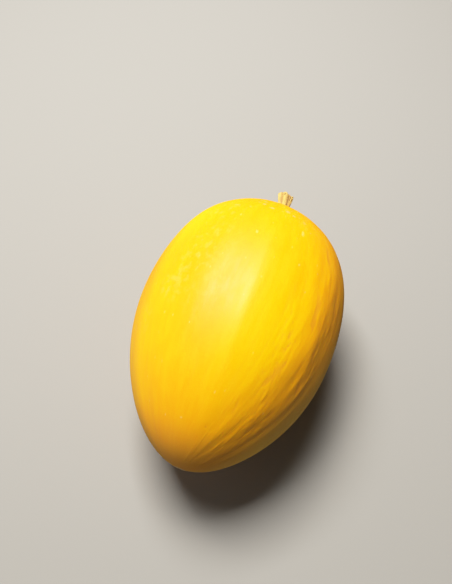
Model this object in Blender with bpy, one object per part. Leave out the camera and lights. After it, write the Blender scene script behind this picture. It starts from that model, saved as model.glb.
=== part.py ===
"""A canary melon lying on its side: the whole ripe fruit, with the short dried stub of its stalk.

The fruit is one solid. Its outline is an egg with the blunt end at the stalk. The rind has a shallow
hollow round the stalk, low lengthwise wrinkles in a band along each flank, a slightly flattened top with
a low ridge beside it, a round scar where the blossom fell off, and a small flat spot underneath, on
which the fruit rests. The stalk stands in the hollow.

Metres, +Z up. The origin is the middle of the flat spot. +Y is the way the stalk points.
"""

import math

import bmesh
import bpy
from mathutils import Matrix, Vector, noise

# Driving sizes of the fruit
FRUIT_LENGTH = 0.205
FRUIT_WIDTH = 0.145
BLUNTNESS = (0.096, 0.039, 0.111)  # fuller at the stalk end, by the first to third power of the station
FLAT_SPOT_DEPTH = 0.0008

# The hollow at the stalk end and the scar at the blossom end
HOLLOW_DEPTH = 0.0024
HOLLOW_FLOOR_RADIUS = 0.0075
HOLLOW_RIM_RADIUS = 0.0185
SCAR_HEIGHT = 0.0003
SCAR_RADIUS = 0.0040
SCAR_EDGE = 0.0025

# Low relief of the rind: (height, bumps across the fruit's girth, bumps along it, offset in the noise)
BROAD_SWELL = (0.0010, 3.0, 1.1, 5.0)
LONG_WRINKLES = (0.0005, 8.5, 3.2, 23.0)
WRINKLE_BANDS = ((42.0, 1.0), (212.0, 0.5))  # (degrees round the fruit from +X, strength)
BAND_HALF_WIDTH = math.radians(15)
BAND_EDGE = math.radians(15)
SWING_START = -0.2  # station from which the bands swing up towards the blossom end
SWING = 0.55  # radians for each squared unit of station
SMOOTH_STALK_END = 0.6  # share of the wrinkles' height that is missing at the stalk end
SMOOTH_ELSEWHERE = 0.06  # share of it that is left outside the bands
SMOOTH_UNDERSIDE = (0.88, 0.975)  # sine of the angle below level where the relief starts to fade and is gone

# The top of the fruit is a little flattened, and a low ridge runs along it, beside the flat
FLAT_MIDDLE = math.radians(96)
FLAT_HALF_WIDTH = math.radians(19)
FLAT_DEPTH = 0.0009
RIDGE_CREST = math.radians(81)
RIDGE_WIDTH = math.radians(9)
RIDGE_HEIGHT = 0.0008
RIDGE_WANDER = (0.05, 1.6, 1.3, 40.0)  # as a layer of relief, but in radians: the crest swings a little
TOP_START = (-0.6, -0.2)  # stations over which the flat and the ridge rise
TOP_END = (0.4, 0.8)  # stations over which they fade

# The stub of the stalk
STALK_LENGTH = 0.0225
STALK_FOOT_RADIUS = 0.0066
STALK_WAIST_RADIUS = 0.0039
STALK_TOP_RADIUS = 0.0058
STALK_RIBS = 5
STALK_RIB_HEIGHT = 0.13  # share of the radius
STALK_TWIST = math.radians(22)
STALK_LEAN = 0.0016
TORN_EDGE = 0.0016
PITH_DEPTH = 0.0030
PITH_RIM_SHARE = 0.80  # of the radius at the torn top
PITH_FLOOR_SHARE = 0.62  # of the radius of the pith at its rim
SEAT_GAP = 0.0003

# How finely each piece is cut into faces
FRUIT_SIDES = 96
FRUIT_RINGS = 38
RING_CROWDING = 0.45  # rings stand closer at the two ends
STALK_SIDES = 35
STALK_RINGS = 13


def step_between(low, high, value):
    """0 below low, 1 above high, and a smooth rise in between."""
    share = min(1.0, max(0.0, (value - low) / (high - low)))
    return share * share * (3 - 2 * share)


def outline(station):
    """Radius of the egg, before scaling, at a station from -1, the blossom end, to 1, the stalk end."""
    first, second, third = BLUNTNESS
    fullness = 1 + first * station + second * station**2 + third * station**3
    return math.sqrt(max(0.0, 1 - station * station)) * fullness


STATIONS = [math.cos(math.pi * k / 400) for k in range(400, -1, -1)]
WIDEST = max(outline(station) for station in STATIONS)


def radius_at(station):
    return 0.5 * FRUIT_WIDTH * outline(station) / WIDEST


def resting_tilt():
    """Angle of the long axis when the egg lies still, with its centre of mass above the point of contact."""
    along = [0.5 * FRUIT_LENGTH * station for station in STATIONS]
    radius = [radius_at(station) for station in STATIONS]
    slices = [
        (0.5 * (along[k] + along[k + 1]), radius[k] ** 2 * (along[k + 1] - along[k]))
        for k in range(len(along) - 1)
    ]
    centre = sum(place * size for place, size in slices) / sum(size for _, size in slices)
    best_miss, best_slope = FRUIT_LENGTH, 0.0
    for k in range(1, len(along) - 1):
        if abs(STATIONS[k]) < 0.5:
            slope = (radius[k + 1] - radius[k - 1]) / (along[k + 1] - along[k - 1])
            miss = abs(along[k] + radius[k] * slope - centre)
            if miss < best_miss:
                best_miss, best_slope = miss, slope
    return math.atan(best_slope)


def swelling(layer, around, station):
    """One layer of the relief. Points on a circle keep it seamless round the girth."""
    height, across, along, offset = layer
    spot = Vector((math.cos(around) * across, math.sin(around) * across, station * along + offset))
    return height * noise.noise(spot)


def swung(around, station):
    """The angle round the fruit at which a wrinkle that passes here crosses the widest part."""
    return around - SWING * min(0.0, station - SWING_START) ** 2


def wrinkled(around, station):
    """How strongly the rind is wrinkled here, from 1 in the middle of the strongest band to nearly 0."""
    strongest = 0.0
    for middle, strength in WRINKLE_BANDS:
        away = abs(math.remainder(swung(around, station) - math.radians(middle), math.tau))
        share = 1 - step_between(BAND_HALF_WIDTH, BAND_HALF_WIDTH + BAND_EDGE, away)
        strongest = max(strongest, strength * share)
    strongest *= 1 - SMOOTH_STALK_END * step_between(0.1, 0.8, station)
    return SMOOTH_ELSEWHERE + (1 - SMOOTH_ELSEWHERE) * strongest


def rind_relief(around, station):
    """Height of the rind above the plain egg: broad swells, and wrinkles in two bands along the flanks.
    Both fade out at the two ends and underneath, where the fruit has lain."""
    fade = step_between(0.0, 0.7, radius_at(station) / (0.5 * FRUIT_WIDTH))
    fade *= 1 - step_between(*SMOOTH_UNDERSIDE, -math.sin(around))
    long_wrinkle = swelling(LONG_WRINKLES, swung(around, station), station)
    return fade * (swelling(BROAD_SWELL, around, station) + wrinkled(around, station) * long_wrinkle)


def top_form(around, station):
    """Height of the ridge above the plain egg, less the depth of the flat beside it."""
    reach = step_between(*TOP_START, station) * (1 - step_between(*TOP_END, station))
    away = (around - RIDGE_CREST - swelling(RIDGE_WANDER, around, station)) / RIDGE_WIDTH
    from_flat = min(1.0, abs(around - FLAT_MIDDLE) / FLAT_HALF_WIDTH)
    flat = FLAT_DEPTH * 0.5 * (1 + math.cos(math.pi * from_flat))
    return reach * (RIDGE_HEIGHT * math.exp(-math.sqrt(away * away + 0.01)) - flat)


def material(name, colour, roughness):
    made = bpy.data.materials.new(name)
    made.use_nodes = True
    shader = made.node_tree.nodes["Principled BSDF"]
    shader.inputs["Base Color"].default_value = (*colour, 1.0)
    shader.inputs["Roughness"].default_value = roughness
    made.diffuse_color = (*colour, 1.0)
    return made


def link(name, bm, finish):
    """Makes an object of a finished bmesh, shaded smooth."""
    bmesh.ops.recalc_face_normals(bm, faces=bm.faces)
    mesh = bpy.data.meshes.new(name)
    bm.to_mesh(mesh)
    bm.free()
    mesh.shade_smooth()
    mesh.set_sharp_from_angle(angle=math.radians(40))
    mesh.materials.append(finish)
    made = bpy.data.objects.new(name, mesh)
    bpy.context.scene.collection.objects.link(made)
    return made


def shape_egg(bm):
    """Turns a unit sphere with its poles on Z into the fruit, with its long axis on Y."""
    for vert in bm.verts:
        polar = math.acos(max(-1.0, min(1.0, vert.co.z)))
        polar -= 0.5 * RING_CROWDING * math.sin(2 * polar)
        around = math.atan2(vert.co.y, vert.co.x)
        station = math.cos(polar)
        radius = radius_at(station)
        along = 0.5 * FRUIT_LENGTH * station
        if station > 0:
            along -= HOLLOW_DEPTH * (1 - step_between(HOLLOW_FLOOR_RADIUS, HOLLOW_RIM_RADIUS, radius))
        else:
            along -= SCAR_HEIGHT * (1 - step_between(SCAR_RADIUS, SCAR_RADIUS + SCAR_EDGE, radius))
        radius += rind_relief(around, station) + top_form(around, station)
        vert.co = (radius * math.cos(around), along, radius * math.sin(around))


def melon(tilt):
    """The fruit at rest, with the middle of its flat spot at the origin. Returns where the egg stands."""
    bm = bmesh.new()
    bmesh.ops.create_uvsphere(bm, u_segments=FRUIT_SIDES, v_segments=FRUIT_RINGS, radius=1)
    shape_egg(bm)
    bm.transform(Matrix.Rotation(tilt, 4, "X"))
    floor = min(vert.co.z for vert in bm.verts) + FLAT_SPOT_DEPTH
    cut = bmesh.ops.bisect_plane(
        bm,
        geom=[*bm.verts, *bm.edges, *bm.faces],
        plane_co=(0, 0, floor),
        plane_no=(0, 0, 1),
        clear_inner=True,
    )
    edges = [part for part in cut["geom_cut"] if isinstance(part, bmesh.types.BMEdge)]
    spot = bmesh.ops.contextual_create(bm, geom=edges)["faces"][0]
    middle = spot.calc_center_median_weighted()
    middle.z = floor
    bm.transform(Matrix.Translation(-middle))
    link("melon", bm, material("waxy_rind", (0.93, 0.53, 0.012), 0.42))
    return Matrix.Translation(-middle) @ Matrix.Rotation(tilt, 4, "X")


def stalk_section(share, around):
    """A point of the stalk at a share of its length: ribbed, flared at the foot and at the torn top."""
    foot = (STALK_FOOT_RADIUS - STALK_WAIST_RADIUS) * math.exp(-5.5 * share)
    top = (STALK_TOP_RADIUS - STALK_WAIST_RADIUS) * step_between(0.45, 1.0, share)
    turned = around + STALK_TWIST * share
    radius = (STALK_WAIST_RADIUS + foot + top) * (1 + STALK_RIB_HEIGHT * math.cos(STALK_RIBS * turned))
    torn = noise.noise(Vector((2.4 * math.cos(around), 2.4 * math.sin(around), 3.0)))
    height = share * STALK_LENGTH + TORN_EDGE * torn * step_between(0.7, 1.0, share)
    return Vector((radius * math.cos(around), radius * math.sin(around), height))


def shape_stalk(bm):
    """Turns a plain tube, one unit of height to a ring, into the stalk with its sunken pith."""
    for vert in bm.verts:
        ring = round(vert.co.z)
        around = math.atan2(vert.co.y, vert.co.x)
        share = min(ring, STALK_RINGS) / STALK_RINGS
        place = stalk_section(share, around)
        if ring > STALK_RINGS:
            place.x *= PITH_RIM_SHARE
            place.y *= PITH_RIM_SHARE
        if ring > STALK_RINGS + 1:
            place.x *= PITH_FLOOR_SHARE
            place.y *= PITH_FLOOR_SHARE
            place.z = STALK_LENGTH - PITH_DEPTH
        place.x -= STALK_LEAN * share * share
        vert.co = place


def stalk(placement):
    """The dried stub: a tube drawn up ring by ring and closed at both ends, then shaped."""
    bm = bmesh.new()
    bmesh.ops.create_circle(bm, cap_ends=True, segments=STALK_SIDES, radius=1)
    rim = list(bm.edges)
    for _ in range(STALK_RINGS + 2):
        drawn = bmesh.ops.extrude_edge_only(bm, edges=rim)["geom"]
        verts = [part for part in drawn if isinstance(part, bmesh.types.BMVert)]
        bmesh.ops.translate(bm, verts=verts, vec=(0, 0, 1))
        rim = [
            part
            for part in drawn
            if isinstance(part, bmesh.types.BMEdge) and all(end in verts for end in part.verts)
        ]
    bmesh.ops.contextual_create(bm, geom=rim)
    shape_stalk(bm)
    made = link("stalk", bm, material("dry_stalk", (0.56, 0.43, 0.20), 0.85))
    seat = 0.5 * FRUIT_LENGTH - HOLLOW_DEPTH + SEAT_GAP
    upright = Matrix.Translation((0, seat, 0)) @ Matrix.Rotation(math.radians(-90), 4, "X")
    made.matrix_world = placement @ upright


for leftover in list(bpy.data.objects):
    bpy.data.objects.remove(leftover)
stalk(melon(resting_tilt()))
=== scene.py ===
"""A ripe canary melon on a pale studio floor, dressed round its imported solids. Metres, +Z up.

The melon lies on its side with its stalk towards +Y, and rests on a flat spot at the origin.
"""

import math

import bmesh
import bpy
from mathutils import Matrix, Vector, noise


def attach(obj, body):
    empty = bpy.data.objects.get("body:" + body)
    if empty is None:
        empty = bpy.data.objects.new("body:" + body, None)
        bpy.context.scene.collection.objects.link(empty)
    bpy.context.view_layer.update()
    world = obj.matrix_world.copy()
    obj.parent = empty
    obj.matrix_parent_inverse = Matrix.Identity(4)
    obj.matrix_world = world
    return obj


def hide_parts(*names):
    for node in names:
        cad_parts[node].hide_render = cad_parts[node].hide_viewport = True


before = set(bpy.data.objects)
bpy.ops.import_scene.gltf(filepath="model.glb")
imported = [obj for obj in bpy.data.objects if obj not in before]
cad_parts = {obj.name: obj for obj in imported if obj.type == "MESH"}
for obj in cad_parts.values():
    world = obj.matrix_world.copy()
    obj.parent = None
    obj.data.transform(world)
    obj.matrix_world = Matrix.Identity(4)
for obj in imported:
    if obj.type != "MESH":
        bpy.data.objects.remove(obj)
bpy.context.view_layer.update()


# The rind is the smooth, hard skin of a ripe canary melon, covered by a thin natural wax. It is drawn into
# long low wrinkles, strongest along its right flank and towards the blossom end. It has a shallow
# hollow round the stalk, a small corky scar at the blossom end, and a paler patch where it lay on the soil.
FRUIT_LENGTH = 0.205
FRUIT_WIDTH = 0.145
BLUNTNESS = (0.096, 0.039, 0.111)
AXIS_MIDDLE = Vector((0.0, -0.00599, 0.07124))
RESTING_TILT = math.radians(3.0)
fruit_place = Matrix.Translation(AXIS_MIDDLE) @ Matrix.Rotation(RESTING_TILT, 4, "X")


def step_between(low, high, value):
    """0 below low, 1 above high, and a smooth rise in between."""
    share = min(1.0, max(0.0, (value - low) / (high - low)))
    return share * share * (3 - 2 * share)


def outline(station):
    """Radius of the egg, before scaling, at a station from -1, the blossom end, to 1, the stalk end."""
    first, second, third = BLUNTNESS
    fullness = 1 + first * station + second * station**2 + third * station**3
    return math.sqrt(max(0.0, 1 - station * station)) * fullness


widest = max(outline(math.cos(math.pi * k / 400)) for k in range(401))


def ripple(layer, around, station):
    """Smooth noise between about -0.6 and 0.6, wrapped round the fruit: (bumps across, along, offset)."""
    across, along, offset = layer
    return noise.noise((math.cos(around) * across, math.sin(around) * across, station * along + offset))


# Wrinkles run in bands: (angle round the fruit in degrees, strength). Towards the blossom end they swing up.
WRINKLE_BANDS = ((42.0, 1.0), (212.0, 0.5))
BAND_HALF_WIDTH = math.radians(15)
BAND_EDGE = math.radians(15)
SWING_START = -0.2
SWING = 0.55
SMOOTH_STALK_END = 0.6
SMOOTH_ELSEWHERE = 0.06


def swung(around, station):
    """The angle round the fruit at which a wrinkle that passes here crosses the widest part."""
    return around - SWING * min(0.0, station - SWING_START) ** 2


def wrinkled(around, station):
    """How strongly the rind is wrinkled here, from 1 in the middle of the strongest band to nearly 0."""
    strongest = 0.0
    for middle, strength in WRINKLE_BANDS:
        away = abs(math.remainder(swung(around, station) - math.radians(middle), math.tau))
        share = 1 - step_between(BAND_HALF_WIDTH, BAND_HALF_WIDTH + BAND_EDGE, away)
        strongest = max(strongest, strength * share)
    strongest *= 1 - SMOOTH_STALK_END * step_between(0.1, 0.8, station)
    return SMOOTH_ELSEWHERE + (1 - SMOOTH_ELSEWHERE) * strongest


BROAD_SWELL = (3.0, 1.1, 5.0)
BROAD_SWELL_HEIGHT = 0.0010
LONG_WRINKLES = (8.5, 3.2, 23.0)
LONG_WRINKLE_HEIGHT = 0.0005
SMOOTH_UNDERSIDE = (0.88, 0.975)

# Finer wrinkles, about 5 and 3.5 mm apart, which wander a little and are drawn out lengthwise.
ROPE_WRINKLES = (28.0, 19.0, 61.0)
ROPE_HEIGHT = 0.00026
CREPE_WRINKLES = (42.0, 25.0, 83.0)
CREPE_HEIGHT = 0.00012
ROPE_PATCHES = (5.0, 4.0, 11.0)
WANDER = (1.6, 1.3, 40.0)
WANDER_ANGLE = 0.10
ROPE_ROUNDING = 0.004
ROPE_MIDDLE = 0.2
PATCH_RANGE = (-0.35, 0.35)
LEAST_PATCH = 0.35
BAND_FOCUS = 2.5
# Very low runs, about 5 mm apart, that lie all over the rind and draw the sheen out into streaks.
RUNS = (30.0, 3.0, 97.0)
RUN_HEIGHT = 0.00005


def coarse_relief(around, station):
    """The broad swells and long wrinkles of the solid."""
    long_wrinkle = ripple(LONG_WRINKLES, swung(around, station), station)
    return BROAD_SWELL_HEIGHT * ripple(BROAD_SWELL, around, station) + (
        LONG_WRINKLE_HEIGHT * wrinkled(around, station) * long_wrinkle
    )


def fine_relief(around, station):
    """Ropes and crepe between the long wrinkles, with narrow valleys and rounded backs."""
    turned = swung(around, station) + WANDER_ANGLE * ripple(WANDER, around, station)
    rope = ripple(ROPE_WRINKLES, turned, station)
    crepe = ripple(CREPE_WRINKLES, turned, station)
    ridged = math.sqrt(rope * rope + ROPE_ROUNDING) - ROPE_MIDDLE
    patchy = step_between(*PATCH_RANGE, ripple(ROPE_PATCHES, around, station))
    share = wrinkled(around, station) ** BAND_FOCUS * (LEAST_PATCH + (1 - LEAST_PATCH) * patchy)
    ropes = share * (ROPE_HEIGHT * (0.6 * rope + 0.9 * ridged) + CREPE_HEIGHT * crepe)
    return ropes + RUN_HEIGHT * ripple(RUNS, turned, station)


# The single folds that stand out. Each runs between two places, given as degrees round the fruit and station.
# Its half width, in degrees, and its height, in millimetres, follow. A valley has a height below 0.
FOLDS = (
    (41.8, 0.52, 40.0, 0.34, 1.3, 0.80),
    (43.8, 0.68, 42.0, 0.50, 1.3, -0.80),
    (46.2, 0.30, 43.5, 0.00, 1.8, -0.50),
    (49.0, 0.25, 50.0, -0.10, 2.0, 0.30),
    (34.0, 0.02, 35.5, -0.17, 1.5, -0.50),
    (31.0, 0.04, 31.5, -0.12, 1.5, 0.30),
    (34.5, -0.22, 37.0, -0.38, 1.3, 0.50),
    (30.5, -0.18, 34.0, -0.46, 2.0, -0.60),
    (26.5, -0.15, 29.5, -0.50, 2.0, 0.40),
    (45.0, 0.00, 47.0, -0.33, 2.5, 0.50),
    (49.0, -0.15, 50.5, -0.30, 1.0, -0.40),
    (51.5, -0.24, 55.5, -0.51, 1.8, -0.40),
    (49.5, -0.32, 53.5, -0.61, 1.8, 0.30),
    (34.0, -0.44, 50.0, -0.85, 3.0, -0.30),
    (54.0, -0.61, 60.0, -0.87, 2.5, 0.40),
    (61.0, -0.49, 66.0, -0.73, 1.5, -0.20),
    (75.0, -0.70, 76.5, -0.93, 3.0, 0.60),
    (81.5, -0.72, 83.5, -0.93, 2.0, -0.30),
    (68.0, -0.74, 70.0, -0.92, 3.0, -0.40),
    (74.0, -0.735, 76.0, -0.765, 1.2, -1.50),
    (31.0, 0.46, 27.5, 0.10, 2.5, -0.40),
    (35.0, 0.62, 32.0, 0.34, 1.5, 0.30),
    (31.0, 0.26, 27.5, 0.04, 1.5, 0.30),
    (39.0, 0.27, 36.5, 0.04, 1.2, 0.30),
    (38.8, 0.13, 38.4, 0.02, 1.0, -0.25),
)
# The share of these heights that is used, chosen against the photograph.
FOLD_SHARE = 0.38


def folds(around, station):
    """Height, in metres, of the single folds at this place."""
    total = 0.0
    degrees = math.degrees(around)
    for from_angle, from_station, to_angle, to_station, half_width, height in FOLDS:
        share = (station - from_station) / (to_station - from_station)
        if 0 < share < 1:
            away = (degrees - from_angle - share * (to_angle - from_angle)) / half_width
            if abs(away) < 3:
                total += height * math.exp(-away * away) * math.sin(math.pi * share) ** 1.2
    return 0.001 * FOLD_SHARE * total


# The top of the fruit is a little flattened, which spreads the sheen. A low ridge ends it on its right.
FLAT_AROUND = math.radians(96)
FLAT_HALF_WIDTH = math.radians(19)
FLAT_DEPTH = 0.0009
RIDGE_AROUND = math.radians(81)
RIDGE_WIDTH = math.radians(9)
RIDGE_HEIGHT = 0.0008
RIDGE_ROUNDING = 0.01
RIDGE_START = (-0.6, -0.2)
RIDGE_END = (0.4, 0.8)


def ridge(around, station):
    """Height, in metres, of the low ridge, less the depth of the flattened top beside it."""
    away = (around - RIDGE_AROUND - 0.5 * WANDER_ANGLE * ripple(WANDER, around, station)) / RIDGE_WIDTH
    reach = step_between(*RIDGE_START, station) * (1 - step_between(*RIDGE_END, station))
    from_flat = min(1.0, abs(around - FLAT_AROUND) / FLAT_HALF_WIDTH)
    flattened = FLAT_DEPTH * 0.5 * (1 + math.cos(math.pi * from_flat))
    return reach * (RIDGE_HEIGHT * math.exp(-math.sqrt(away * away + RIDGE_ROUNDING)) - flattened)


HOLLOW_DEPTH = 0.0024
HOLLOW_FLOOR_RADIUS = 0.0075
HOLLOW_RIM_RADIUS = 0.0185
SCAR_HEIGHT = 0.0003
SCAR_RADIUS = 0.0040
SCAR_EDGE = 0.0025
RIND_SIDES = 520
RIND_RINGS = 188
RING_CROWDING = 0.45
WELD = 1e-6

bm = bmesh.new()
bmesh.ops.create_grid(bm, x_segments=RIND_SIDES, y_segments=RIND_RINGS, size=1)
skin_layer = bm.verts.layers.float_vector.new("skin")
furrow_layer = bm.verts.layers.float.new("furrow")
stalk_reach_layer = bm.verts.layers.float.new("stalk_reach")
scar_reach_layer = bm.verts.layers.float.new("scar_reach")
for vert in bm.verts:
    around = math.pi * vert.co.x
    polar = 0.5 * math.pi * (1 - vert.co.y)
    polar -= 0.5 * RING_CROWDING * math.sin(2 * polar)
    station = math.cos(polar)
    radius = 0.5 * FRUIT_WIDTH * outline(station) / widest
    along = 0.5 * FRUIT_LENGTH * station
    vert[stalk_reach_layer] = radius if station > 0 else FRUIT_WIDTH
    vert[scar_reach_layer] = radius if station < 0 else FRUIT_WIDTH
    if station > 0:
        along -= HOLLOW_DEPTH * (1 - step_between(HOLLOW_FLOOR_RADIUS, HOLLOW_RIM_RADIUS, radius))
    else:
        along -= SCAR_HEIGHT * (1 - step_between(SCAR_RADIUS, SCAR_RADIUS + SCAR_EDGE, radius))
    fade = step_between(0.0, 0.7, 2 * radius / FRUIT_WIDTH)
    fade *= 1 - step_between(*SMOOTH_UNDERSIDE, -math.sin(around))
    fine = fine_relief(around, station) * step_between(0.05, 0.45, 2 * radius / FRUIT_WIDTH)
    fine += folds(around, station) * (2 * radius / FRUIT_WIDTH) ** 1.5
    radius += fade * coarse_relief(around, station) + fine + ridge(around, station)
    vert.co = fruit_place @ Vector((radius * math.cos(around), along, radius * math.sin(around)))
    vert.co.z = max(0.0, vert.co.z)
    vert[skin_layer] = (math.cos(around), math.sin(around), station)
    vert[furrow_layer] = fine * 1000
bmesh.ops.remove_doubles(bm, verts=bm.verts, dist=WELD)
bmesh.ops.recalc_face_normals(bm, faces=bm.faces)
rind_mesh = bpy.data.meshes.new("rind")
bm.to_mesh(rind_mesh)
bm.free()
rind_mesh.shade_smooth()
rind = bpy.data.objects.new("rind", rind_mesh)
bpy.context.scene.collection.objects.link(rind)


def linear(hex_colour):
    """A colour picked as sRGB hex, as the linear values that a shader takes."""
    parts = [int(hex_colour[k : k + 2], 16) / 255 for k in (1, 3, 5)]
    return (*[part / 12.92 if part <= 0.04045 else ((part + 0.055) / 1.055) ** 2.4 for part in parts], 1.0)


def add_node(tree, kind, inputs=None, **settings):
    """Adds a node. Settings are its own properties. An input is a value, or the socket that feeds it."""
    node = tree.nodes.new("ShaderNode" + kind)
    for key, value in settings.items():
        setattr(node, key, value)
    for key, value in (inputs or {}).items():
        if isinstance(value, bpy.types.NodeSocket):
            tree.links.new(value, node.inputs[key])
        else:
            node.inputs[key].default_value = value
    return node


def start_material(name):
    """An empty Principled material, and its tree and shader."""
    made = bpy.data.materials.new(name)
    made.use_nodes = True
    return made, made.node_tree, made.node_tree.nodes["Principled BSDF"]


waxed_rind, tree, shader = start_material("waxed_rind")
skin = add_node(tree, "Attribute", attribute_name="skin").outputs["Vector"]
furrow = add_node(tree, "Attribute", attribute_name="furrow").outputs["Fac"]
stalk_reach = add_node(tree, "Attribute", attribute_name="stalk_reach").outputs["Fac"]
scar_reach = add_node(tree, "Attribute", attribute_name="scar_reach").outputs["Fac"]


def blend(tree, share, under, over):
    """Lays one colour over another by a share."""
    mix = add_node(tree, "Mix", data_type="RGBA")
    for socket, value in ((mix.inputs[0], share), (mix.inputs[6], under), (mix.inputs[7], over)):
        if isinstance(value, bpy.types.NodeSocket):
            tree.links.new(value, socket)
        else:
            socket.default_value = value
    return mix.outputs[2]


def ranged(tree, value, low, high, to_low=0.0, to_high=1.0):
    """Turns low to high of a value into to_low to to_high, smoothly."""
    wanted = {"Value": value, "From Min": low, "From Max": high, "To Min": to_low, "To Max": to_high}
    return add_node(tree, "MapRange", wanted, interpolation_type="SMOOTHSTEP").outputs["Result"]


def grain(tree, where, stretch, detail=2.0, roughness=0.5, offset=(0.0, 0.0, 0.0)):
    """Noise stretched by a mapping, so that its marks run lengthwise."""
    mapped = add_node(tree, "Mapping", {"Vector": where, "Scale": stretch, "Location": offset}).outputs[0]
    wanted = {"Vector": mapped, "Scale": 1.0, "Detail": detail, "Roughness": roughness}
    return add_node(tree, "TexNoise", wanted).outputs["Fac"]


def near(tree, where, middle, reach, ragged=0.0, seed=0.0):
    """Distance from a place, as a share of a reach (round the fruit, along it). Its edge can be ragged."""
    angle, station_there = math.radians(middle[0]), middle[1]
    at = (math.cos(angle), math.sin(angle), station_there)
    offset = add_node(tree, "VectorMath", {0: where, 1: at}, operation="SUBTRACT").outputs[0]
    scaled = add_node(tree, "VectorMath", {0: offset, 1: (reach[0], reach[0], reach[1])}, operation="DIVIDE")
    distance = add_node(tree, "VectorMath", {0: scaled.outputs[0]}, operation="LENGTH").outputs["Value"]
    if not ragged:
        return distance
    rough = grain(tree, where, (40.0, 40.0, 40.0), detail=3.0, offset=(seed, 0.0, 0.0))
    return add_node(tree, "Math", {0: rough, 1: ragged, 2: distance}, operation="MULTIPLY_ADD").outputs[0]


streaks = grain(tree, skin, (13.0, 13.0, 6.0), detail=4.0)
patches = grain(tree, skin, (2.1, 2.1, 1.4), offset=(4.0, 1.0, 2.0))
colour = blend(tree, ranged(tree, streaks, 0.35, 0.68), linear("#F6A700"), linear("#F9AE00"))
# The top is painted the deepest yellow, which holds down the strongest light of the soft box there.
# The shoulder beside it and two places on the left are painted clearer and lighter, as painted light.
DEEPENED_TOP = (102.0, 0.2)
deepened_top = ranged(tree, near(tree, skin, DEEPENED_TOP, (0.62, 0.9)), 1.0, 0.2, 0.0, 0.85)
colour = blend(tree, deepened_top, colour, linear("#F49A00"))
# Painted light: the shoulder is painted a clearer, lighter yellow.
PAINTED_LIGHT_SHOULDER = (62.0, -0.25)
shoulder = ranged(tree, near(tree, skin, PAINTED_LIGHT_SHOULDER, (0.62, 0.9)), 1.0, 0.1)
colour = blend(tree, shoulder, colour, linear("#FBBA00"))
# Painted fill light: the lower and upper left edges are painted a lighter, clearer yellow.
LOWER_LEFT_PAINTED_FILL = (158.0, -0.62)
lower_left_painted_fill = ranged(tree, near(tree, skin, LOWER_LEFT_PAINTED_FILL, (0.55, 0.65)), 1.0, 0.1)
colour = blend(tree, lower_left_painted_fill, colour, linear("#FFBB0C"))
UPPER_LEFT_PAINTED_FILL = (150.0, 0.65)
upper_left_painted_fill = ranged(tree, near(tree, skin, UPPER_LEFT_PAINTED_FILL, (0.60, 0.50)), 1.0, 0.2, 0.0, 0.8)
colour = blend(tree, upper_left_painted_fill, colour, linear("#FFC20A"))
colour = blend(tree, ranged(tree, patches, 0.45, 0.75, 0.0, 0.3), colour, linear("#F3A300"))
# Down the lower right flank, which faces away from the soft box, the yellow is painted amber as painted
# shade, and over that lies a lighter, greener tint as painted bounce light.
PAINTED_BOUNCE_FLANK = (0.0, -0.25)
FLANK_SLANT = 0.45
skin_parts = add_node(tree, "SeparateXYZ", {"Vector": skin})
height_round = skin_parts.outputs["Y"]
along_skin = skin_parts.outputs["Z"]
rise_parts = {0: along_skin, 1: FLANK_SLANT, 2: height_round}
rise = add_node(tree, "Math", rise_parts, operation="MULTIPLY_ADD").outputs[0]
flank = ranged(tree, skin_parts.outputs["X"], -0.9, 0.1, 0.1, 0.7)
painted_shade_height = ranged(tree, rise, 0.85, 0.3)
painted_shade_amber = add_node(tree, "Math", {0: flank, 1: painted_shade_height}, operation="MULTIPLY").outputs[0]
colour = blend(tree, painted_shade_amber, colour, linear("#EC9F14"))
# Painted bounce light: a lighter, greener tint over the painted shade of the lower flank.
painted_bounce_patch = ranged(tree, near(tree, skin, PAINTED_BOUNCE_FLANK, (0.95, 1.15)), 1.0, 0.4)
painted_bounce_height = ranged(tree, rise, 0.45, -0.05, 0.0, 0.62)
rough_flank_and_painted_bounce = add_node(tree, "Math", {0: painted_bounce_patch, 1: painted_bounce_height}, operation="MULTIPLY").outputs[0]
colour = blend(tree, rough_flank_and_painted_bounce, colour, linear("#DDB84C"))
# The blossom end is painted browner, as painted shade where the rind turns away from the light, and the
# valleys of the finer relief are painted darker, as painted shade in the creases.
painted_shade_tip = ranged(tree, along_skin, -0.72, -0.97, 0.0, 0.42)
colour = blend(tree, painted_shade_tip, colour, linear("#BE8230"))
# Painted shade in the valleys of the finer relief.
colour = blend(tree, ranged(tree, furrow, 0.0, -0.12, 0.0, 0.4), colour, linear("#D98C24"))


# Small pale flecks of cork: (degrees round the fruit, station), (reach round it, along it), share.
FLECKS = (
    ((91.5, 0.478), (0.018, 0.020), 0.30),
    ((65.2, 0.619), (0.022, 0.028), 0.38),
    ((111.9, -0.765), (0.012, 0.010), 0.37),
    ((97.0, -0.752), (0.030, 0.008), 0.25),
    ((106.5, -0.240), (0.006, 0.008), 0.31),
    ((103.5, 0.245), (0.006, 0.008), 0.25),
    ((131.0, -0.590), (0.012, 0.010), 0.25),
    ((152.0, -0.300), (0.020, 0.030), 0.31),
    ((20.0, 0.100), (0.014, 0.016), 0.31),
    ((-40.0, 0.300), (0.014, 0.020), 0.37),
    ((-15.0, -0.500), (0.012, 0.014), 0.37),
    ((172.0, 0.200), (0.018, 0.022), 0.37),
    ((203.0, 0.550), (0.012, 0.016), 0.37),
    ((218.0, -0.350), (0.016, 0.020), 0.37),
)
for place, reach, share in FLECKS:
    fleck = near(tree, skin, place, reach, ragged=1.4, seed=10 * place[1])
    colour = blend(tree, ranged(tree, fleck, 1.7, 1.0, 0.0, share), colour, linear("#F7D27E"))

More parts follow.
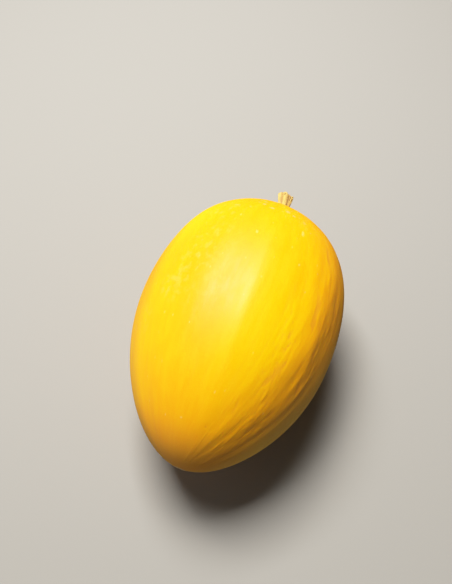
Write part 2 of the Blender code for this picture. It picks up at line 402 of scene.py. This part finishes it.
# Mottled pale patches, where leaves and stems rubbed the wax off: (place), (reach), share.
RUBS = (
    ((125.0, -0.03), (0.22, 0.14), 0.34),
    ((120.0, 0.14), (0.26, 0.20), 0.26),
    ((112.0, 0.33), (0.34, 0.24), 0.22),
    ((105.0, 0.00), (0.30, 0.30), 0.18),
    ((118.0, 0.62), (0.30, 0.12), 0.30),
    ((60.0, 0.72), (0.25, 0.08), 0.22),
    ((140.0, -0.25), (0.14, 0.14), 0.22),
    ((-50.0, 0.10), (0.30, 0.30), 0.25),
    ((190.0, -0.20), (0.25, 0.25), 0.25),
)
mottle = grain(tree, skin, (17.0, 17.0, 22.0), detail=2.5)
flakes = ranged(tree, mottle, 0.47, 0.68)
for place, reach, share in RUBS:
    patch = ranged(tree, near(tree, skin, place, reach), 1.0, 0.2, 0.0, share)
    flaky = add_node(tree, "Math", {0: patch, 1: flakes}, operation="MULTIPLY").outputs[0]
    colour = blend(tree, flaky, colour, linear("#F6B450"))

# Specks of cork, 1 to 2 mm wide with soft edges, lie scattered all over the rind.
cells = add_node(tree, "TexVoronoi", {"Vector": skin, "Scale": 11.0})
cell_colour = add_node(tree, "SeparateColor", {"Color": cells.outputs["Color"]})
chosen = ranged(tree, cell_colour.outputs["Red"], 0.55, 0.95)
dot = ranged(tree, cells.outputs["Distance"], 0.14, 0.05, 0.0, 0.24)
speck = add_node(tree, "Math", {0: dot, 1: chosen}, operation="MULTIPLY").outputs[0]
colour = blend(tree, speck, colour, linear("#F9D67A"))

# The ground spot underneath stayed pale, because no sun reached it.
GROUND_SPOT = (-90.0, -0.05)
from_soil = near(tree, skin, GROUND_SPOT, (0.58, 0.60), ragged=0.35, seed=2.0)
soil_edge = add_node(tree, "Math", {0: patches, 1: 0.8, 2: from_soil}, operation="MULTIPLY_ADD").outputs[0]
colour = blend(tree, ranged(tree, soil_edge, 1.75, 1.25, 0.0, 0.85), colour, linear("#F2CE7C"))

# Cork grows in rings and cracks round the stalk and on the blossom scar, and in thin smudges near the stalk.
SMUDGES = (
    ((97.0, 0.770), (0.030, 0.014), 0.55),
    ((90.0, 0.745), (0.050, 0.014), 0.60),
    ((78.3, 0.771), (0.045, 0.020), 0.65),
    ((73.0, 0.750), (0.030, 0.012), 0.50),
    ((115.0, 0.700), (0.050, 0.014), 0.30),
    ((64.0, 0.733), (0.030, 0.016), 0.35),
    ((150.0, 0.780), (0.050, 0.020), 0.50),
    ((-30.0, 0.770), (0.060, 0.020), 0.50),
    ((230.0, 0.790), (0.060, 0.020), 0.50),
)
COLLAR_RAGGEDNESS = 0.012
COLLAR_REACH = (0.0175, 0.0135)
SCAR_RAGGEDNESS = 0.006
SCAR_CORK_REACH = (0.0086, 0.0068)
SCAR_MIDDLE_REACH = (0.0016, 0.0008)
cork_grain = grain(tree, skin, (55.0, 55.0, 90.0), detail=5.0, roughness=0.7)
spokes = grain(tree, skin, (30.0, 30.0, 4.0), detail=3.0, roughness=0.6)
collar_parts = {0: spokes, 1: COLLAR_RAGGEDNESS, 2: stalk_reach}
collar_edge = add_node(tree, "Math", collar_parts, operation="MULTIPLY_ADD").outputs[0]
collar = ranged(tree, collar_edge, *COLLAR_REACH)
cork = blend(tree, ranged(tree, cork_grain, 0.4, 0.6), linear("#B98B52"), linear("#DDBB80"))
colour = blend(tree, collar, colour, cork)
freckles = grain(tree, skin, (26.0, 26.0, 40.0), detail=3.0, roughness=0.6, offset=(3.0, 8.0, 1.0))
freckled = add_node(tree, "Math", {0: stalk_reach, 1: -4.0, 2: freckles}, operation="MULTIPLY_ADD").outputs[0]
colour = blend(tree, ranged(tree, freckled, 0.40, 0.50, 0.0, 0.6), colour, linear("#EDA95A"))
for place, reach, share in SMUDGES:
    smudge = near(tree, skin, place, reach, ragged=1.6, seed=7 * place[1])
    colour = blend(tree, ranged(tree, smudge, 1.8, 1.0, 0.0, share), colour, linear("#F1A86C"))
scar_parts = {0: spokes, 1: SCAR_RAGGEDNESS, 2: scar_reach}
scar_edge = add_node(tree, "Math", scar_parts, operation="MULTIPLY_ADD").outputs[0]
colour = blend(tree, ranged(tree, scar_edge, *SCAR_CORK_REACH), colour, cork)
colour = blend(tree, ranged(tree, scar_reach, *SCAR_MIDDLE_REACH), colour, linear("#6E4A28"))
tree.links.new(colour, shader.inputs["Base Color"])
# The wax gives a soft sheen, with less of it on the lower right flank where the painted bounce light lies.
wax_streaks = ranged(tree, streaks, 0.3, 0.7, 0.40, 0.50)
wax = add_node(tree, "Math", {0: rough_flank_and_painted_bounce, 1: 0.25, 2: wax_streaks}, operation="MULTIPLY_ADD").outputs[0]
tree.links.new(wax, shader.inputs["Roughness"])
shader.inputs["IOR"].default_value = 1.45
shader.inputs["Specular IOR Level"].default_value = 0.25
shader.inputs["Subsurface Weight"].default_value = 0.15
shader.inputs["Subsurface Radius"].default_value = (1.0, 0.45, 0.08)
shader.inputs["Subsurface Scale"].default_value = 0.006
pores = grain(tree, skin, (70.0, 70.0, 22.0), detail=3.0, roughness=0.6)
bump = add_node(tree, "Bump", {"Height": pores, "Strength": 0.5, "Distance": 0.00015})
tree.links.new(bump.outputs["Normal"], shader.inputs["Normal"])
rind_mesh.materials.append(waxed_rind)
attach(rind, "root")
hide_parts("melon")


# The stalk is a short stub that dried on the fruit after the cut: straw-coloured, ribbed and fibrous, flared
# where it grows out of the rind, torn at the top, with sunken brown pith and dark cracks between its ribs.
STALK_LENGTH = 0.0225
STALK_FOOT_RADIUS = 0.0066
STALK_WAIST_RADIUS = 0.0039
STALK_TOP_RADIUS = 0.0058
STALK_RIBS = 5
STALK_RIB_HEIGHT = 0.13
STALK_TWIST = math.radians(22)
STALK_LEAN = 0.0016
TORN_EDGE = 0.0016
PITH_DEPTH = 0.0030
PITH_RIM_SHARE = 0.80
PITH_FLOOR_SHARE = 0.62
SEAT_GAP = 0.0003
SUNK_FOOT = 0.0009
STALK_SIDES = 180
STALK_RINGS = 96
SIDE_END = 0.74
RIM_END = 0.80
WALL_END = 0.92
STRANDS = (11.0, 3.0, 7.0)
STRAND_HEIGHT = 0.00030
FIBRES = (26.0, 5.0, 19.0)
FIBRE_HEIGHT = 0.00014
CRACKS = (6.0, 2.2, 31.0)
CRACK_DEPTH = 0.0007
RIM_LIFT = 0.0004
CRUMB_HEIGHT = 0.0005
CRUMBS_PER_METRE = 1500


def strand(layer, around, share):
    """Smooth noise drawn out along the stalk: (strands across, along, offset)."""
    across, along, offset = layer
    turned = around + STALK_TWIST * share
    return noise.noise((math.cos(turned) * across, math.sin(turned) * across, share * along + offset))


def crack(around, share):
    """How open a crack is here, from 0 to 1: narrow slits between the strands, widest at the two ends."""
    slit = 1 - step_between(0.0, 0.07, abs(strand(CRACKS, around, share)))
    opening = 0.35 + 0.65 * max(1 - step_between(0.0, 0.35, share), step_between(0.6, 1.0, share))
    return slit * opening


def stalk_side(share, around):
    """A point of the outside of the stalk at a share of its length."""
    foot = (STALK_FOOT_RADIUS - STALK_WAIST_RADIUS) * math.exp(-5.5 * share)
    top = (STALK_TOP_RADIUS - STALK_WAIST_RADIUS) * step_between(0.45, 1.0, share)
    turned = around + STALK_TWIST * share
    radius = (STALK_WAIST_RADIUS + foot + top) * (1 + STALK_RIB_HEIGHT * math.cos(STALK_RIBS * turned))
    radius += STRAND_HEIGHT * strand(STRANDS, around, share) + FIBRE_HEIGHT * strand(FIBRES, around, share)
    radius -= CRACK_DEPTH * crack(around, share)
    torn = noise.noise((2.4 * math.cos(around), 2.4 * math.sin(around), 3.0))
    splinters = noise.noise((9 * math.cos(around), 9 * math.sin(around), 5.0))
    height = share * STALK_LENGTH + step_between(0.7, 1.0, share) * TORN_EDGE * (torn + 0.4 * splinters)
    return Vector((radius * math.cos(around), radius * math.sin(around), height))


bm = bmesh.new()
bmesh.ops.create_grid(bm, x_segments=STALK_SIDES, y_segments=STALK_RINGS, size=1)
run_layer = bm.verts.layers.float_vector.new("run")
crack_layer = bm.verts.layers.float.new("crack")
rib_layer = bm.verts.layers.float.new("rib")
pith_layer = bm.verts.layers.float.new("pith")
for vert in bm.verts:
    around = math.pi * vert.co.x
    level = 0.5 * (1 + vert.co.y)
    share = min(1.0, level / SIDE_END)
    place = stalk_side(share, around)
    if level == 0:
        place = Vector((0.0, 0.0, -SUNK_FOOT))
    elif share < 0.02:
        place.z = -SUNK_FOOT
    rim = step_between(SIDE_END, RIM_END, level)
    wall = step_between(RIM_END, WALL_END, level)
    floor_share = step_between(WALL_END, 1.0, level)
    narrowed = (1 - (1 - PITH_RIM_SHARE) * rim) * (1 - (1 - PITH_FLOOR_SHARE) * wall) * (1 - floor_share)
    place.x *= narrowed
    place.y *= narrowed
    place.z += RIM_LIFT * math.sin(math.pi * rim)
    crumbs = CRUMB_HEIGHT * noise.noise(CRUMBS_PER_METRE * place) * wall
    place.z += (STALK_LENGTH - PITH_DEPTH - place.z) * wall + crumbs
    place.x -= STALK_LEAN * share * share
    vert.co = place
    turned = around + STALK_TWIST * share
    vert[run_layer] = (math.cos(turned), math.sin(turned), share)
    vert[crack_layer] = crack(around, share) * (1 - rim)
    vert[rib_layer] = math.cos(STALK_RIBS * turned)
    vert[pith_layer] = step_between(SIDE_END, RIM_END + 0.04, level)
bmesh.ops.remove_doubles(bm, verts=bm.verts, dist=WELD)
bmesh.ops.recalc_face_normals(bm, faces=bm.faces)
bm.transform(
    fruit_place
    @ Matrix.Translation((0, 0.5 * FRUIT_LENGTH - HOLLOW_DEPTH + SEAT_GAP, 0))
    @ Matrix.Rotation(math.radians(-90), 4, "X")
)
stub_mesh = bpy.data.meshes.new("stub")
bm.to_mesh(stub_mesh)
bm.free()
stub_mesh.shade_smooth()
stub = bpy.data.objects.new("stub", stub_mesh)
bpy.context.scene.collection.objects.link(stub)

dried_stalk, tree, shader = start_material("dried_stalk")
run = add_node(tree, "Attribute", attribute_name="run").outputs["Vector"]
crack_share = add_node(tree, "Attribute", attribute_name="crack").outputs["Fac"]
rib = add_node(tree, "Attribute", attribute_name="rib").outputs["Fac"]
pith = add_node(tree, "Attribute", attribute_name="pith").outputs["Fac"]
height = add_node(tree, "SeparateXYZ", {"Vector": run}).outputs["Z"]
fibres = grain(tree, run, (16.0, 16.0, 2.0), detail=4.0, roughness=0.6)
blotches = grain(tree, run, (2.5, 2.5, 3.5), detail=3.0, offset=(7.0, 2.0, 1.0))
speckle = grain(tree, run, (45.0, 45.0, 30.0), detail=3.0, roughness=0.6)
colour = blend(tree, ranged(tree, fibres, 0.35, 0.65), linear("#C69E4C"), linear("#E4C475"))
colour = blend(tree, ranged(tree, blotches, 0.5, 0.72, 0.0, 0.6), colour, linear("#A98248"))
# Painted shade: the grooves between the ribs are painted darker, and so is the foot in the hollow of the
# rind.
colour = blend(tree, ranged(tree, rib, 0.1, -0.9, 0.0, 0.55), colour, linear("#8F6536"))
colour = blend(tree, ranged(tree, height, 0.16, 0.0, 0.0, 0.7), colour, linear("#8C5E2A"))
colour = blend(tree, ranged(tree, speckle, 0.56, 0.67, 0.0, 0.7), colour, linear("#6B4722"))
colour = blend(tree, ranged(tree, crack_share, 0.15, 0.7), colour, linear("#3A2210"))
inside = blend(tree, ranged(tree, speckle, 0.4, 0.6), linear("#5A3A1E"), linear("#9A7040"))
colour = blend(tree, pith, colour, inside)
tree.links.new(colour, shader.inputs["Base Color"])
tree.links.new(ranged(tree, fibres, 0.3, 0.7, 0.75, 0.92), shader.inputs["Roughness"])
bump = add_node(tree, "Bump", {"Height": speckle, "Strength": 0.6, "Distance": 0.0002})
tree.links.new(bump.outputs["Normal"], shader.inputs["Normal"])
stub_mesh.materials.append(dried_stalk)
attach(stub, "root")
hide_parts("stalk")


# The floor is a wide sheet of pale, matt studio board.
FLOOR_HALF_WIDTH = 3.0
floor_mesh = bpy.data.meshes.new("floor")
bm = bmesh.new()
bmesh.ops.create_grid(bm, x_segments=1, y_segments=1, size=FLOOR_HALF_WIDTH)
bm.to_mesh(floor_mesh)
bm.free()
floor = bpy.data.objects.new("floor", floor_mesh)
bpy.context.scene.collection.objects.link(floor)
studio_board, tree, shader = start_material("studio_board")
shader.inputs["Base Color"].default_value = linear("#969490")
shader.inputs["Roughness"].default_value = 0.9
floor_mesh.materials.append(studio_board)
floor.visible_glossy = False  # the board gives light, but no pale rim of reflection on the rind


# One large soft box hangs above and behind the fruit, a little to its left. A dim warm room with a paler
# wall on the left fills the shade.
KEY_AZIMUTH = math.radians(132)
KEY_ELEVATION = math.radians(67)
KEY_DIRECTION = Vector(
    (
        math.cos(KEY_AZIMUTH) * math.cos(KEY_ELEVATION),
        math.sin(KEY_AZIMUTH) * math.cos(KEY_ELEVATION),
        math.sin(KEY_ELEVATION),
    )
)
KEY_DISTANCE = 1.3
KEY_SIZE = (0.6, 0.55)
KEY_POWER = 39.2
key_light = bpy.data.lights.new("soft_box", "AREA")
key_light.shape = "RECTANGLE"
key_light.size, key_light.size_y = KEY_SIZE
key_light.energy = KEY_POWER
key_light.color = (1.0, 0.97, 0.92)
key = bpy.data.objects.new("soft_box", key_light)
key.matrix_world = Matrix.Translation(AXIS_MIDDLE + KEY_DISTANCE * KEY_DIRECTION) @ (
    KEY_DIRECTION.to_track_quat("Z", "Y").to_matrix().to_4x4()
)
bpy.context.scene.collection.objects.link(key)

room = bpy.data.worlds.new("room")
room.use_nodes = True
outlook = add_node(room.node_tree, "TexCoord").outputs["Generated"]
WALL_AZIMUTH = math.radians(200)
PALE_WALL = (math.cos(WALL_AZIMUTH), math.sin(WALL_AZIMUTH), 0.0)
ROOM_TO_WALL = (0.045, 0.37)
towards_wall = add_node(room.node_tree, "VectorMath", {0: outlook, 1: PALE_WALL}, operation="DOT_PRODUCT")
room_light = ranged(room.node_tree, towards_wall.outputs["Value"], 0.1, 0.9, *ROOM_TO_WALL)
background = room.node_tree.nodes["Background"]
background.inputs["Color"].default_value = (1.0, 0.95, 0.88, 1.0)
room.node_tree.links.new(room_light, background.inputs["Strength"])
bpy.context.scene.world = room

# The picture's film response: straight up to the middle tones, and a soft shoulder.
FILM_RESPONSE = ((0.3, 0.3), (0.6, 0.6), (0.8, 0.76), (1.0, 0.88), (1.2, 0.96), (1.4, 1.0))
BRIGHTEST = 2.0
film = bpy.context.scene.view_settings
film.view_transform = "Standard"
film.use_curve_mapping = True
film.curve_mapping.white_level = (BRIGHTEST, BRIGHTEST, BRIGHTEST)
film.curve_mapping.extend = "HORIZONTAL"
for light, shown in FILM_RESPONSE:
    film.curve_mapping.curves[3].points.new(light / BRIGHTEST, shown)
film.curve_mapping.update()


# The camera looks down on the fruit from its blossom end, a little from its right.
CAMERA_AZIMUTH = math.radians(21.1)
CAMERA_ELEVATION = math.radians(64.0)
CAMERA_TARGET = AXIS_MIDDLE * Vector((1, 1, 0)) + Vector((-0.0295, 0.0607, 0.0))
CAMERA_DISTANCE = 0.5134
SENSOR_WIDTH_MM = 36.0
FOCAL_LENGTH_MM = 35.45
view_line = Vector(
    (
        -math.sin(CAMERA_AZIMUTH) * math.cos(CAMERA_ELEVATION),
        math.cos(CAMERA_AZIMUTH) * math.cos(CAMERA_ELEVATION),
        -math.sin(CAMERA_ELEVATION),
    )
)
lens = bpy.data.cameras.new("camera")
lens.sensor_width = SENSOR_WIDTH_MM
lens.lens = FOCAL_LENGTH_MM
camera = bpy.data.objects.new("camera", lens)
camera.matrix_world = Matrix.Translation(CAMERA_TARGET - CAMERA_DISTANCE * view_line) @ (
    view_line.to_track_quat("-Z", "Y").to_matrix().to_4x4()
)
bpy.context.scene.collection.objects.link(camera)
bpy.context.scene.camera = camera
